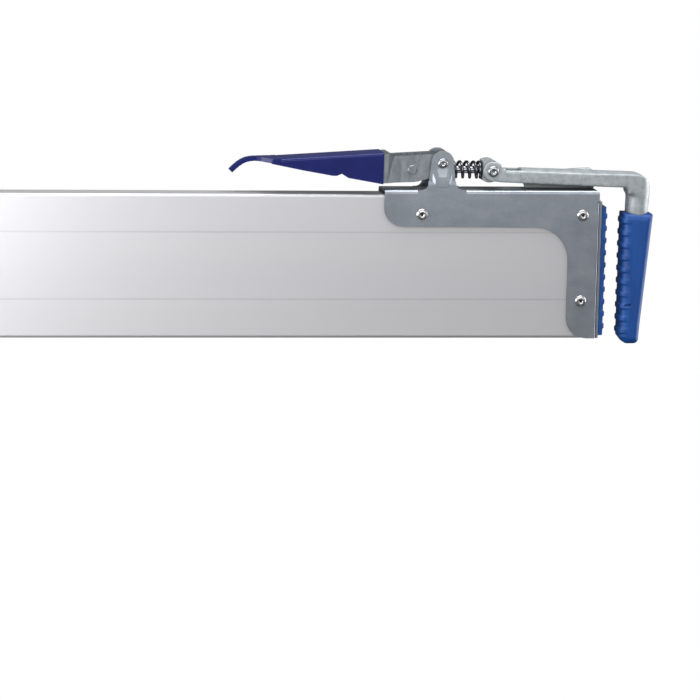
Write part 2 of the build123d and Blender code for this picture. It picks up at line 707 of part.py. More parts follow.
# ---------------------------------------------------------------- claw sleeve
with BuildPart() as claw_sleeve:
    with BuildSketch(SIDE):
        with BuildLine():
            FilletPolyline(
                (26.9, 131.0),
                (59.4, 129.8),
                (48.9, 14.0),
                (47.6, -6.5),
                (33.5, -6.5),
                (26.6, 2.0),
                radius=[1.0, 1.5, 30.0, 5.0, 4.0, 4.0],
                close=True,
            )
        make_face()
    extrude(amount=CLAW_HALF, both=True)
    outer_edges = claw_sleeve.edges().filter_by(GeomType.LINE).filter_by(
        lambda e: e.length > 60 and e.center().X > END_X + LEG_TOP[0]
    )
    fillet(outer_edges, CLAW_OUTER_R)
    with BuildSketch(above(-20)):
        with BuildLine():
            FilletPolyline(
                (26.6, -CLAW_HALF),
                (70.0, -CLAW_HALF),
                (70.0, CLAW_HALF),
                (26.6, CLAW_HALF),
                radius=[CLAW_JAW_R, 0, 0, CLAW_JAW_R],
                close=True,
            )
        make_face()
    extrude(amount=170, mode=Mode.INTERSECT)
    # Ribs, where the sleeve's own outline stands towards the plank
    claw_rib_heights = [CLAW_RIB_TOP - i * RIB_PITCH for i in range(RIB_COUNT)]
    add(banded(claw_sleeve.part.moved(Location((-RIB_HEIGHT, 0, 0))), claw_rib_heights))
    # Small moulded slot low on the side
    with BuildSketch(SIDE.offset(CLAW_HALF)):
        with Locations(SLOT_PLACE):
            Rectangle(*SLOT_SIZE)
    extrude(amount=-1.8, mode=Mode.SUBTRACT)
    # Bore for the leg
    with BuildSketch(Plane(origin=place(*LEG_FOOT), x_dir=(1, 0, 0), z_dir=(0, 0, 1))):
        Circle(LEG_FOOT_R + SEAT_GAP)
    with BuildSketch(Plane(origin=place(*LEG_TOP), x_dir=(1, 0, 0), z_dir=(0, 0, 1))):
        Circle(LEG_R + SEAT_GAP)
    loft(mode=Mode.SUBTRACT)

# ---------------------------------------------------------------- write every sub-part
plank_profile.part.label = "plank_profile"
export_step(plank_profile.part, "parts/plank_profile.step")

CLAMP_PIECES = {
    "end_bracket": end_bracket,
    "bracket_rivets": bracket_rivets,
    "pad_plate": pad_plate,
    "end_pad": end_pad,
    "pivot_rivets": pivot_rivets,
    "lever": lever,
    "handle_grip": handle_grip,
    "lever_pin": lever_pin,
    "rod_barrel": rod_barrel,
    "draw_rod": draw_rod,
    "rod_collar": rod_collar,
    "lock_nut": lock_nut,
    "spring": spring,
    "trunnion_block": trunnion_block,
    "arm_pins": arm_pins,
    "hook_arm": hook_arm,
    "claw_sleeve": claw_sleeve,
}
SIDE_TURNS = {"right": 0, "left": 180}

for name, piece in CLAMP_PIECES.items():
    for side, turn in SIDE_TURNS.items():
        placed = piece.part.rotate(Axis.Z, turn)
        placed.label = f"{name}_{side}"
        export_step(placed, f"parts/{name}_{side}.step")
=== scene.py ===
"""Looks of a load-securing plank: a hollow aluminium profile with a sprung lever clamp at each end.

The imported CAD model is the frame. Each sub-assembly below is a class that builds finer meshes for its
CAD nodes, or dresses the node that stays, and each finish is a small class that makes one material.
"""

import logging
import math
from collections.abc import Callable, Iterable, Sequence
from dataclasses import dataclass, field
from enum import Enum

import bmesh
import bpy
from mathutils import Matrix, Vector


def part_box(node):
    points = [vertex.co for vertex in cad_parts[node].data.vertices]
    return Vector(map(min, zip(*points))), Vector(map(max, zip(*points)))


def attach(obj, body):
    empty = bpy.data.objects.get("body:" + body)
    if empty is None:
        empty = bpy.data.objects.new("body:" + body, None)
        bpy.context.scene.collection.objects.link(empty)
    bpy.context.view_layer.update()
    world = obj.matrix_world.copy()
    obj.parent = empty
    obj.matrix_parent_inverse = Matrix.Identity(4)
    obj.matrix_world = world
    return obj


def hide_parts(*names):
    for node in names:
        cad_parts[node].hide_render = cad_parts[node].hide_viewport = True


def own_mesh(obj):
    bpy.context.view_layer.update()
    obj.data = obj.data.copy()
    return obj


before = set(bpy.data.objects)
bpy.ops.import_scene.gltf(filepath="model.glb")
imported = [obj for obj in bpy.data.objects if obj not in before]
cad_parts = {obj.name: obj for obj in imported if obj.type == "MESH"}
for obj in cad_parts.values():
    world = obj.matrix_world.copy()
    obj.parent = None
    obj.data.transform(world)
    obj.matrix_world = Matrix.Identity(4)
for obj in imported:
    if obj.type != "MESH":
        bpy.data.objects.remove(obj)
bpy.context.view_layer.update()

log = logging.getLogger("plank")

MM = 0.001
Point = tuple[float, float]
Triple = tuple[float, float, float]
Source = tuple[bpy.types.Node, str | int]

MERGE_MM = 0.002
FLAT_ANGLE = math.radians(0.5)
BEVEL_ANGLE = math.radians(28.0)
SHARP_DEGREES = 40.0
CAST_SHARP_DEGREES = 60.0

CLOUD_SPAN = (0.32, 0.68)
CLOUD_DETAIL = 3.0
GRAIN_SPAN = (0.3, 0.7)
GRAIN_DETAIL = 4.0
MARK_DETAIL = 8.0
MARK_EDGE = 0.05
MARK_STRENGTH = 0.75
PAINTED_SHADE_SAMPLES = 12


class End(Enum):
    """The two ends of the plank, with the turn about Z that brings the drawn clamp there."""

    RIGHT = ("right", 0.0)
    LEFT = ("left", math.pi)

    @property
    def label(self) -> str:
        """Name that ends each node of this end."""
        return self.value[0]

    @property
    def turn(self) -> Matrix:
        """Rotation that carries the right-hand clamp to this end."""
        return Matrix.Rotation(self.value[1], 4, "Z")


# --------------------------------------------------------------------------- materials


def linear(code: str) -> tuple[float, float, float, float]:
    """Turn an sRGB hex value into linear colour.

    Args:
        code: six hex digits.

    Returns:
        Red, green, blue and an alpha of 1, linear.
    """
    parts = [int(code[i : i + 2], 16) / 255 for i in (0, 2, 4)]
    rgb = [p / 12.92 if p <= 0.04045 else ((p + 0.055) / 1.055) ** 2.4 for p in parts]
    return (*rgb, 1.0)


def add_node(
    tree: bpy.types.NodeTree,
    kind: str,
    values: dict[str | int, object] | None = None,
    links: dict[str | int, Source] | None = None,
    **settings: object,
) -> bpy.types.Node:
    """Add a node with its settings, socket values and incoming links.

    Args:
        tree: node tree to add to.
        kind: Blender's node type.
        values: socket values by input name or index.
        links: for an input, the node and output that feed it.
        settings: the node's own properties.

    Returns:
        The new node.
    """
    node = tree.nodes.new(kind)
    for key, value in settings.items():
        setattr(node, key, value)
    for key, value in (values or {}).items():
        node.inputs[key].default_value = value
    for key, (source, output) in (links or {}).items():
        tree.links.new(source.outputs[output], node.inputs[key])
    return node


def remap(tree: bpy.types.NodeTree, source: Source, span: Point, to: Point = (0.0, 1.0)) -> Source:
    """Stretch one range of values over another.

    Args:
        tree: node tree to add to.
        source: the value's node and output.
        span: range that is read.
        to: range that it becomes.

    Returns:
        The new value's node and output.
    """
    limits = {"From Min": span[0], "From Max": span[1], "To Min": to[0], "To Max": to[1]}
    return add_node(tree, "ShaderNodeMapRange", limits, {"Value": source}), "Result"


def darkened(tree: bpy.types.NodeTree, colour: Source, level: Source) -> Source:
    """Multiply a colour by a grey level.

    Args:
        tree: node tree to add to.
        colour: the colour's node and output.
        level: the level's node and output.

    Returns:
        The product's node and output.
    """
    links = {6: colour, 7: level}
    return add_node(tree, "ShaderNodeMix", {0: 1.0}, links, data_type="RGBA", blend_type="MULTIPLY"), 2


@dataclass(frozen=True)
class Finish:
    """One surface finish, made of a broad tone change, a fine grain, scattered marks and painted shade that
    darkens its crevices.

    Pattern sizes are in millimetres and are worked out on Object coordinates.
    """

    name: str
    light: str
    dark: str
    metallic: float
    roughness: float
    rough_swing: float = 0.08
    cloud_mm: Triple = (12.0, 12.0, 12.0)
    grain_mm: Triple = (0.8, 0.8, 0.8)
    grain_depth_mm: float = 0.02
    grain_tone: float = 0.25
    mark_colour: str = "ffffff"
    mark_mm: float = 9.0
    mark_share: float = 0.0
    ior: float = 1.5
    # Painted shade: how far the crevice darkening reaches, in millimetres, and the colour level left where
    # it is deepest.
    painted_shade_mm: float = 14.0
    painted_shade_level: float = 0.4

    def pattern(self, tree: bpy.types.NodeTree, size: Triple, detail: float) -> Source:
        """Add a noise whose blotches measure size along X, Y and Z."""
        where = add_node(tree, "ShaderNodeTexCoord")
        scale = tuple(1.0 / (MM * s) for s in size)
        scaled = add_node(tree, "ShaderNodeMapping", {"Scale": scale}, {"Vector": (where, "Object")})
        settings = {"Scale": 1.0, "Detail": detail, "Roughness": 0.6}
        return add_node(tree, "ShaderNodeTexNoise", settings, {"Vector": (scaled, "Vector")}), "Fac"

    def marked(self, tree: bpy.types.NodeTree, colour: Source) -> Source:
        """Scatter marks over a colour."""
        spots = self.pattern(tree, (self.mark_mm,) * 3, MARK_DETAIL)
        edge = 0.5 + 0.25 * (1.0 - self.mark_share)
        mask = remap(tree, spots, (edge, edge + MARK_EDGE), (0.0, MARK_STRENGTH))
        over = {7: linear(self.mark_colour)}
        return add_node(tree, "ShaderNodeMix", over, {0: mask, 6: colour}, data_type="RGBA"), 2

    def colour(self, tree: bpy.types.NodeTree, grain: Source) -> Source:
        """Work out the colour from tone, grain, marks and painted shade, which darkens the colour in
        crevices, corners and under other parts.

        Args:
            tree: node tree to add to.
            grain: the fine grain's node and output.

        Returns:
            The colour's node and output.
        """
        spread = remap(tree, self.pattern(tree, self.cloud_mm, CLOUD_DETAIL), CLOUD_SPAN)
        tones = {6: linear(self.dark), 7: linear(self.light)}
        tone = add_node(tree, "ShaderNodeMix", tones, {0: spread}, data_type="RGBA")
        colour = darkened(tree, (tone, 2), remap(tree, grain, GRAIN_SPAN, (1.0 - self.grain_tone, 1.0)))
        if self.mark_share > 0:
            colour = self.marked(tree, colour)
        # Painted shade: ambient occlusion darkens the colour where other surfaces close in, standing for
        # shade in crevices and under parts.
        reach = {"Distance": self.painted_shade_mm * MM}
        painted_shade_ao = add_node(tree, "ShaderNodeAmbientOcclusion", reach, samples=PAINTED_SHADE_SAMPLES)
        shade = remap(tree, (painted_shade_ao, "AO"), (0.0, 1.0), (self.painted_shade_level, 1.0))
        return darkened(tree, colour, shade)

    def make(self) -> bpy.types.Material:
        """Build the material.

        Returns:
            A node material with this finish.
        """
        material = bpy.data.materials.new(self.name)
        material.use_nodes = True
        tree = material.node_tree
        tree.nodes.clear()
        grain = self.pattern(tree, self.grain_mm, GRAIN_DETAIL)
        swing = (self.roughness - self.rough_swing, self.roughness + self.rough_swing)
        depth = {"Strength": 1.0, "Distance": self.grain_depth_mm * MM}
        bump = add_node(tree, "ShaderNodeBump", depth, {"Height": grain})
        shader = add_node(
            tree,
            "ShaderNodeBsdfPrincipled",
            {"Metallic": self.metallic, "IOR": self.ior},
            {
                "Base Color": self.colour(tree, grain),
                "Roughness": remap(tree, grain, GRAIN_SPAN, swing),
                "Normal": (bump, "Normal"),
            },
        )
        add_node(tree, "ShaderNodeOutputMaterial", None, {"Surface": (shader, "BSDF")})
        return material


# Natural extruded aluminium: pale, with fine die lines along X and a soft sheen across them, and painted
# shade where the handle and clamp close over it.
EXTRUDED_ALUMINIUM = Finish(
    "extruded aluminium", "dcdcdf", "dadade", 0.6, 0.44, 0.03,
    cloud_mm=(900.0, 40.0, 40.0), grain_mm=(600.0, 1.0, 0.9), grain_depth_mm=0.004, grain_tone=0.02,
    painted_shade_mm=30.0, painted_shade_level=0.55,
)
# Zinc-plated pressed steel: blue grey, faintly clouded by the bath, with a fine rolled grain.
ZINC_SHEET = Finish(
    "zinc plated sheet steel", "b3bac3", "a1a8b3", 0.85, 0.36, 0.05,
    cloud_mm=(26.0, 26.0, 18.0), grain_mm=(1.4, 1.4, 1.0), grain_depth_mm=0.015, grain_tone=0.14,
    mark_colour="d2d8dd", mark_mm=4.0, mark_share=0.2,
)
# The lever is pressed from the same steel but handled more, so it is darker with streaks.
LEVER_ZINC = Finish(
    "zinc plated lever steel", "b0b7bd", "8e959d", 0.85, 0.38, 0.08,
    cloud_mm=(5.0, 5.0, 16.0), grain_mm=(2.6, 2.6, 0.7), grain_depth_mm=0.03, grain_tone=0.2,
    mark_colour="d4dade", mark_mm=6.0, mark_share=0.35,
)
# Bright zinc on turned pins, rods and nuts, with painted shade close to the parts they sit in.
TURNED_ZINC = Finish(
    "bright zinc plated steel", "c8ccd0", "b2b7bc", 0.95, 0.24, 0.06,
    cloud_mm=(4.0, 4.0, 4.0), grain_mm=(0.5, 0.5, 0.5), grain_depth_mm=0.008, grain_tone=0.12,
    painted_shade_mm=4.0,
)
# Blind rivets are soft bright aluminium, slightly dented by the setting tool, with painted shade where they
# meet the plate.
RIVET_ALUMINIUM = Finish(
    "bright rivet aluminium", "e6e6e8", "d2d2d5", 0.95, 0.24, 0.08,
    cloud_mm=(3.0, 3.0, 3.0), grain_mm=(0.9, 0.9, 0.9), grain_depth_mm=0.03, grain_tone=0.12,
    painted_shade_mm=3.0, painted_shade_level=0.25,
)
# Spring wire is dark and oiled, with bright glints along the coils, and painted shade darkens it between
# the coils.
OILED_SPRING_STEEL = Finish(
    "oiled spring steel", "82848c", "55575e", 0.95, 0.24, 0.06,
    cloud_mm=(3.0, 3.0, 3.0), grain_mm=(0.6, 0.6, 0.6), grain_depth_mm=0.01, grain_tone=0.2,
    painted_shade_mm=6.0, painted_shade_level=0.2,
)
# Hot-dip galvanised casting: pale matt grey skin with pits and mottling, and strong painted shade that
# darkens the fin under the bar.
GALVANISED_CASTING = Finish(
    "galvanised cast steel", "cdd4d8", "b3babf", 0.45, 0.50, 0.10,
    cloud_mm=(7.0, 7.0, 7.0), grain_mm=(1.3, 1.3, 1.3), grain_depth_mm=0.12, grain_tone=0.24,
    mark_colour="eef2f4", mark_mm=3.0, mark_share=0.35, painted_shade_level=0.25,
)
# Dipped vinyl: dark blue and glossy, with the slight orange peel of a thick dip.
DIPPED_VINYL = Finish(
    "dipped blue vinyl", "1f2769", "1a2160", 0.0, 0.23, 0.02,
    cloud_mm=(30.0, 30.0, 30.0), grain_mm=(9.0, 9.0, 9.0), grain_depth_mm=0.01, grain_tone=0.05, ior=1.36,
)
# Moulded rubber: mid blue with a satin skin and faint bloom, and deep painted shade that darkens the claw's
# jaw side and ribs.
MOULDED_RUBBER = Finish(
    "moulded blue rubber", "1456ac", "114a96", 0.0, 0.42, 0.07,
    cloud_mm=(9.0, 9.0, 60.0), grain_mm=(0.9, 0.9, 0.9), grain_depth_mm=0.03, grain_tone=0.10,
    mark_colour="3f6cae", mark_mm=7.0, mark_share=0.2, painted_shade_mm=24.0, painted_shade_level=0.12,
)

MADE: dict[str, bpy.types.Material] = {}


def material_of(finish: Finish) -> bpy.types.Material:
    """Return the finish's material, made once."""
    if finish.name not in MADE:
        MADE[finish.name] = finish.make()
    return MADE[finish.name]


# --------------------------------------------------------------------------- mesh helpers


def place_piece(
    name: str,
    mesh: bpy.types.Mesh,
    finish: Finish,
    body: str,
    nodes: Sequence[str],
) -> bpy.types.Object:
    """Add a finished mesh to the scene as one piece.

    Args:
        name: the piece's name.
        mesh: its mesh, in the row frame.
        finish: its finish.
        body: CAD body that it rides on.
        nodes: CAD nodes that it stands for.

    Returns:
        The new object.
    """
    mesh.name = name
    mesh.materials.clear()
    mesh.materials.append(material_of(finish))
    piece = bpy.data.objects.new(name, mesh)
    bpy.context.scene.collection.objects.link(piece)
    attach(piece, body)
    if nodes:
        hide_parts(*nodes)
    log.info("%s: %d faces", name, len(mesh.polygons))
    return piece


def to_mesh(
    work: bmesh.types.BMesh, turn: Matrix | None = None, smooth_below: float = SHARP_DEGREES
) -> bpy.types.Mesh:
    """Turn a bmesh into a mesh with outward normals and smooth shading between soft edges.

    Args:
        work: the bmesh, which is freed.
        turn: optional matrix applied first.
        smooth_below: edges with a larger angle, in degrees, shade sharp.

    Returns:
        The mesh.
    """
    if turn is not None:
        bmesh.ops.transform(work, matrix=turn, verts=work.verts)
    bmesh.ops.recalc_face_normals(work, faces=work.faces)
    limit = math.radians(smooth_below)
    for face in work.faces:
        face.smooth = True
    for edge in work.edges:
        edge.smooth = len(edge.link_faces) != 2 or edge.calc_face_angle(0.0) < limit
    mesh = bpy.data.meshes.new("piece")
    work.to_mesh(mesh)
    work.free()
    return mesh


def merged_copy(node: str) -> bmesh.types.BMesh:
    """Return a copy of a CAD node's mesh with its loose triangles merged into clean faces."""
    work = bmesh.new()
    work.from_mesh(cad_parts[node].data)
    bmesh.ops.remove_doubles(work, verts=work.verts, dist=MERGE_MM * MM)
    bmesh.ops.dissolve_limit(work, angle_limit=FLAT_ANGLE, verts=work.verts, edges=work.edges)
    return work


def modified(mesh: bpy.types.Mesh, *steps: tuple[str, dict[str, object]]) -> bpy.types.Mesh:
    """Apply modifiers to a mesh.

    Args:
        mesh: the starting mesh.
        steps: each modifier's type and settings, in order.

    Returns:
        A new mesh with the modifiers applied.
    """
    helper = bpy.data.objects.new("helper", mesh)
    bpy.context.scene.collection.objects.link(helper)
    for kind, settings in steps:
        modifier = helper.modifiers.new(kind.lower(), kind)
        for key, value in settings.items():
            setattr(modifier, key, value)
    bpy.context.view_layer.update()
    shaped = helper.evaluated_get(bpy.context.evaluated_depsgraph_get())
    result = bpy.data.meshes.new_from_object(shaped)
    bpy.data.objects.remove(helper)
    return result


def bevelled(mesh: bpy.types.Mesh, width_mm: float, segments: int = 2) -> bpy.types.Mesh:
    """Round a mesh's sharp edges and weight its normals to the flat faces."""
    bevel = {
        "width": width_mm * MM,
        "segments": segments,
        "limit_method": "ANGLE",
        "angle_limit": BEVEL_ANGLE,
        "use_clamp_overlap": True,
        "miter_outer": "MITER_ARC",
    }
    return modified(mesh, ("BEVEL", bevel), ("WEIGHTED_NORMAL", {"keep_sharp": True}))


def softened_node(
    node: str, finish: Finish, body: str, width_mm: float, segments: int = 2
) -> bpy.types.Object:
    """Replace a CAD node by a copy of itself with rounded edges.

    Args:
        node: the CAD node's name.
        finish: its finish.
        body: body that it rides on.
        width_mm: edge rounding.
        segments: faces across each rounded edge.

    Returns:
        The new piece.
    """
    mesh = bevelled(to_mesh(merged_copy(node)), width_mm, segments)
    return place_piece(f"{node}_skin", mesh, finish, body, [node])


def relax(work: bmesh.types.BMesh, verts: Sequence[bmesh.types.BMVert], rounds: int) -> None:
    """Smooth some corners of a mesh, half way to their neighbours each round."""
    for _ in range(rounds):
        bmesh.ops.smooth_vert(
            work, verts=verts, factor=0.5, use_axis_x=True, use_axis_y=True, use_axis_z=True
        )


def cast_node(
    node: str,
    finish: Finish,
    body: str,
    voxel_mm: float,
    rounds: int,
    shape: Callable[[bmesh.types.BMesh], None] | None = None,
) -> bpy.types.Object:
    """Replace a CAD node by a cast or moulded copy whose edges have run soft.

    Args:
        node: the CAD node's name.
        finish: its finish.
        body: body that it rides on.
        voxel_mm: size of the new faces.
        rounds: smoothing rounds, each of which softens edges by about half a face.
        shape: optional last change to the mesh.

    Returns:
        The new piece.
    """
    remesh = {"mode": "VOXEL", "voxel_size": voxel_mm * MM, "use_smooth_shade": True}
    mesh = modified(to_mesh(merged_copy(node)), ("REMESH", remesh))
    work = bmesh.new()
    work.from_mesh(mesh)
    relax(work, work.verts, rounds)
    if shape is not None:
        shape(work)
    mesh = to_mesh(work, smooth_below=CAST_SHARP_DEGREES)
    return place_piece(f"{node}_skin", mesh, finish, body, [node])


def stand_on(start: Vector, axis: Vector) -> Matrix:
    """Matrix that moves the origin to a point and turns Z onto an axis."""
    return Matrix.Translation(start) @ axis.to_track_quat("Z", "Y").to_matrix().to_4x4()


def turned(profile: Iterable[Point], centre: Vector, axis: Vector, steps: int = 40) -> bmesh.types.BMesh:
    """Spin a closed profile round an axis.

    Args:
        profile: radius and height of each corner, in millimetres, height along the axis.
        centre: where height 0 lies, in metres.
        axis: direction of rising height.
        steps: faces round the piece.

    Returns:
        The spun solid.
    """
    work = bmesh.new()
    corners = [work.verts.new((r * MM, 0.0, h * MM)) for r, h in profile]
    edges = [work.edges.new(pair) for pair in zip(corners, corners[1:])]
    if profile[0][0] > 0 and profile[-1][0] > 0:
        edges.append(work.edges.new((corners[-1], corners[0])))
    bmesh.ops.spin(
        work,
        geom=[*corners, *edges],
        cent=(0, 0, 0),
        axis=(0, 0, 1),
        angle=2 * math.pi,
        steps=steps,
        use_merge=True,
    )
    bmesh.ops.remove_doubles(work, verts=work.verts, dist=0.0005 * MM)
    bmesh.ops.transform(work, matrix=stand_on(centre, axis), verts=work.verts)
    return work


def join(parts: Sequence[bmesh.types.BMesh]) -> bmesh.types.BMesh:
    """Put several bmeshes into one, freeing them."""
    whole = bmesh.new()
    for part in parts:
        mesh = bpy.data.meshes.new("part")
        part.to_mesh(mesh)
        part.free()
        whole.from_mesh(mesh)
        bpy.data.meshes.remove(mesh)
    return whole


# --------------------------------------------------------------------------- the plank


@dataclass
class Plank:
    """The extruded profile, whose CAD node stays and gets its finish."""

    node: str = "plank_profile"

    def build(self) -> None:
        """Dress the profile."""
        dress(self.node, EXTRUDED_ALUMINIUM)


def dress(node: str, finish: Finish) -> None:
    """Give a CAD node that stays its finish."""
    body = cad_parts[node]
    for slot in body.material_slots:
        slot.material = material_of(finish)
    log.info("%s: dressed in %s", node, finish.name)


# --------------------------------------------------------------------------- the clamp


@dataclass
class Clamp:
    """What every sub-assembly of a clamp shares: its end, and where its end face lies."""

    end: End
    end_face: float = field(init=False)

    def __post_init__(self) -> None:
        """Read the end face's place off the pad plate behind it."""
        low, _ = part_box(f"pad_plate_{End.RIGHT.label}")
        self.end_face = low.x

    def node(self, name: str) -> str:
        """Name of this end's CAD node."""
        return f"{name}_{self.end.label}"

    def body(self, name: str) -> str:
        """Name of this end's moving body."""
        return f"{name}_{self.end.label}"

    def at(self, x: float, z: float, y: float = 0.0) -> Vector:
        """Point at x from the end face, height z and depth y, in millimetres, before the end's turn."""
        return Vector((self.end_face + x * MM, y * MM, z * MM))


@dataclass
class Bracket(Clamp):
    """Bent sheet bracket, its blind rivets, and the ribbed pad on its end flange."""

    plate_face: float = 17.5
    bracket_edge: float = 1.15
    pad_plate_edge: float = 0.7
    edge_faces: int = 3
    pad_voxel: float = 0.6
    pad_rounds: int = 2
    rivets: tuple[Point, ...] = ((-188.0, 129.5), (-17.4, 129.0), (-17.0, 39.3))
    head_profile: tuple[Point, ...] = (
        (1.55, -2.0), (1.55, 1.35), (1.9, 1.75), (3.1, 1.95),
        (4.6, 1.6), (5.6, 0.95), (6.0, 0.35), (6.0, 0.0),
        (3.0, 0.0), (3.0, -2.0),
    )
    stem_profile: tuple[Point, ...] = ((0.0, 0.15), (1.3, 0.15), (1.5, -0.1), (1.5, -2.0), (0.0, -2.0))

    def build(self) -> None:
        """Build the bracket, rivets and pad."""
        softened_node(
            self.node("end_bracket"), ZINC_SHEET, "plank", self.bracket_edge, self.edge_faces
        )
        heads: list[bmesh.types.BMesh] = []
        stems: list[bmesh.types.BMesh] = []
        for x, z in self.rivets:
            for facing in (-1, 1):
                centre = self.at(x, z, facing * self.plate_face)
                axis = Vector((0, facing, 0))
                heads.append(turned(self.head_profile, centre, axis))
                stems.append(turned(self.stem_profile, centre, axis, 20))
        place_piece(
            self.node("rivet_heads"), to_mesh(join(heads), self.end.turn), RIVET_ALUMINIUM, "plank",
            [self.node("bracket_rivets")],
        )
        place_piece(
            self.node("rivet_stems"), to_mesh(join(stems), self.end.turn), OILED_SPRING_STEEL, "plank",
            [],
        )
        softened_node(
            self.node("pad_plate"), ZINC_SHEET, "plank", self.pad_plate_edge, self.edge_faces
        )
        cast_node(
            self.node("end_pad"), MOULDED_RUBBER, "plank", self.pad_voxel, self.pad_rounds
        )


@dataclass
class LeverSet(Clamp):
    """Pressed lever with its pivot rivets, pin and dipped grip."""

    pivot: Point = (-167.2, 182.5)
    ear_face: float = 15.4
    sheet_edge: float = 0.5
    pin_edge: float = 0.2
    grip_edge: float = 0.9
    grip_edge_faces: int = 3
    rivet_profile: tuple[Point, ...] = (
        (0.0, 0.9), (1.6, 0.95), (2.4, 1.7), (3.4, 1.75), (4.6, 1.3), (5.2, 0.5), (5.3, 0.0), (3.9, 0.0),
        (3.9, -4.8), (0.0, -4.8),
    )

    def build(self) -> None:
        """Build the lever and what is fixed to it."""
        lever = self.body("lever")
        softened_node(self.node("lever"), LEVER_ZINC, lever, self.sheet_edge)
        softened_node(self.node("lever_pin"), LEVER_ZINC, lever, self.pin_edge)
        softened_node(
            self.node("handle_grip"), DIPPED_VINYL, lever, self.grip_edge, self.grip_edge_faces
        )
        heads = [
            turned(self.rivet_profile, self.at(*self.pivot, facing * self.ear_face), Vector((0, facing, 0)))
            for facing in (-1, 1)
        ]
        place_piece(
            self.node("pivot_rivet_heads"), to_mesh(join(heads), self.end.turn), TURNED_ZINC, "plank",
            [self.node("pivot_rivets")],
        )


@dataclass
class DrawGear(Clamp):
    """Rod, barrel, collar, nut and spring; the hook's trunnion slides on the rod."""

    lever_pin: Point = (-198.5, 175.2)
    arm_pin: Point = (-113.2, 174.0)
    collar_face: float = -47.2
    seat: float = -9.9
    coil_r: float = 8.1
    wire_r: float = 1.5
    wire_faces: int = 14
    end_gap: float = 0.15
    closed_pitch: float = 3.1
    closed_turns: float = 0.9
    pitch: float = 7.3
    steps_per_turn: int = 40
    squash_keep: float = 0.78
    edges: tuple[tuple[str, float], ...] = (
        ("rod_barrel", 0.4), ("draw_rod", 0.2), ("rod_collar", 0.2), ("lock_nut", 0.4),
    )

    @property
    def rod_axis(self) -> Vector:
        """Direction of the rod, outboard, before the end's turn."""
        return (self.at(*self.arm_pin) - self.at(*self.lever_pin)).normalized()

    def coil(self) -> bmesh.types.BMesh:
        """Wind the spring: a closed turn at each end and open turns between."""
        work = bmesh.new()
        ring = bmesh.ops.create_circle(work, radius=self.wire_r * MM, segments=self.wire_faces)
        upright = Matrix.Translation((self.coil_r * MM, 0, 0)) @ Matrix.Rotation(math.pi / 2, 4, "X")
        bmesh.ops.transform(work, matrix=upright, verts=ring["verts"])
        length = self.seat - self.collar_face - 2 * self.wire_r - 2 * self.end_gap
        open_length = length - 2 * self.closed_turns * self.closed_pitch
        stretches = (
            (self.closed_turns, self.closed_pitch),
            (open_length / self.pitch, self.pitch),
            (self.closed_turns, self.closed_pitch),
        )
        front = [*ring["verts"], *work.edges]
        for turns, pitch in stretches:
            steps = round(turns * self.steps_per_turn)
            rise = turns * pitch * MM / steps
            spun = bmesh.ops.spin(
                work, geom=front, cent=(0, 0, 0), axis=(0, 0, 1), dvec=(0, 0, rise),
                angle=turns * 2 * math.pi, steps=steps,
            )
            kinds = (bmesh.types.BMVert, bmesh.types.BMEdge)
            front = [g for g in spun["geom_last"] if isinstance(g, kinds)]
        bmesh.ops.remove_doubles(work, verts=work.verts, dist=0.001 * MM)
        bmesh.ops.holes_fill(work, edges=[e for e in work.edges if e.is_boundary])
        first = self.collar_face + self.wire_r + self.end_gap
        start = self.at(*self.arm_pin) + self.rod_axis * first * MM
        bmesh.ops.transform(work, matrix=stand_on(start, self.rod_axis), verts=work.verts)
        return work

    def build(self) -> None:
        """Build the rod's pieces and the spring."""
        rod = self.body("rod")
        for name, width in self.edges:
            softened_node(self.node(name), TURNED_ZINC, rod, width)
        spring = place_piece(
            self.node("spring_coil"), to_mesh(self.coil(), self.end.turn), OILED_SPRING_STEEL, rod,
            [self.node("spring")],
        )
        anchor = self.end.turn @ (self.at(*self.arm_pin) + self.rod_axis * self.collar_face * MM)
        self.end.turn @ self.rod_axis
        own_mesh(spring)


@dataclass
class Hook(Clamp):
    """Trunnion, arm pins, cast hook arm and its rubber claw."""

    arm_pin: Point = (-113.2, 174.0)
    fork_face: float = 14.7
    block_edge: float = 1.0
    block_edge_faces: int = 3
    bar_top: float = 177.3
    bar_top_x: float = -103.0
    bar_slope: float = 1.8
    bar_span: Point = (-100.0, 50.0)
    bar_half: float = 14.0
    crown: float = 2.6
    crown_depth: float = 7.0
    crown_power: float = 2.2
    elbow_x: float = 25.0
    elbow_heights: Point = (141.0, 161.0)
    elbow_rounds: int = 14
    arm_voxel: float = 0.9
    arm_rounds: int = 3
    sleeve_voxel: float = 0.6
    sleeve_rounds: int = 2
    pin_profile: tuple[Point, ...] = (
        (0.0, 0.6), (1.5, 0.65), (2.3, 1.5), (3.2, 1.75), (4.6, 1.5), (5.6, 0.8), (5.9, 0.0), (4.3, 0.0),
        (4.3, -8.0), (0.0, -8.0),
    )

    def shape_arm(self, work: bmesh.types.BMesh) -> None:
        """Crown the bar's top, as the casting's draft leaves it, and run the elbow soft.

        Args:
            work: the arm's mesh, at its own end.
        """
        back = self.end.turn.inverted()
        slope = math.tan(math.radians(self.bar_slope))
        for vert in work.verts:
            spot = back @ vert.co
            x = (spot.x - self.end_face) / MM
            top = self.bar_top - (x - self.bar_top_x) * slope
            over = spot.z / MM - top + self.crown_depth
            if self.bar_span[0] < x < self.bar_span[1] and over > 0.0:
                share = min(1.0, over / self.crown_depth)
                side = min(1.0, abs(spot.y) / MM / self.bar_half)
                vert.co.z -= self.crown * MM * share * side**self.crown_power
        relax(work, [v for v in work.verts if self.in_elbow(back @ v.co)], self.elbow_rounds)

    def in_elbow(self, spot: Vector) -> bool:
        """Tell whether a point lies where the bar turns into the leg."""
        low, high = self.elbow_heights
        return spot.x > self.end_face + self.elbow_x * MM and low * MM < spot.z < high * MM

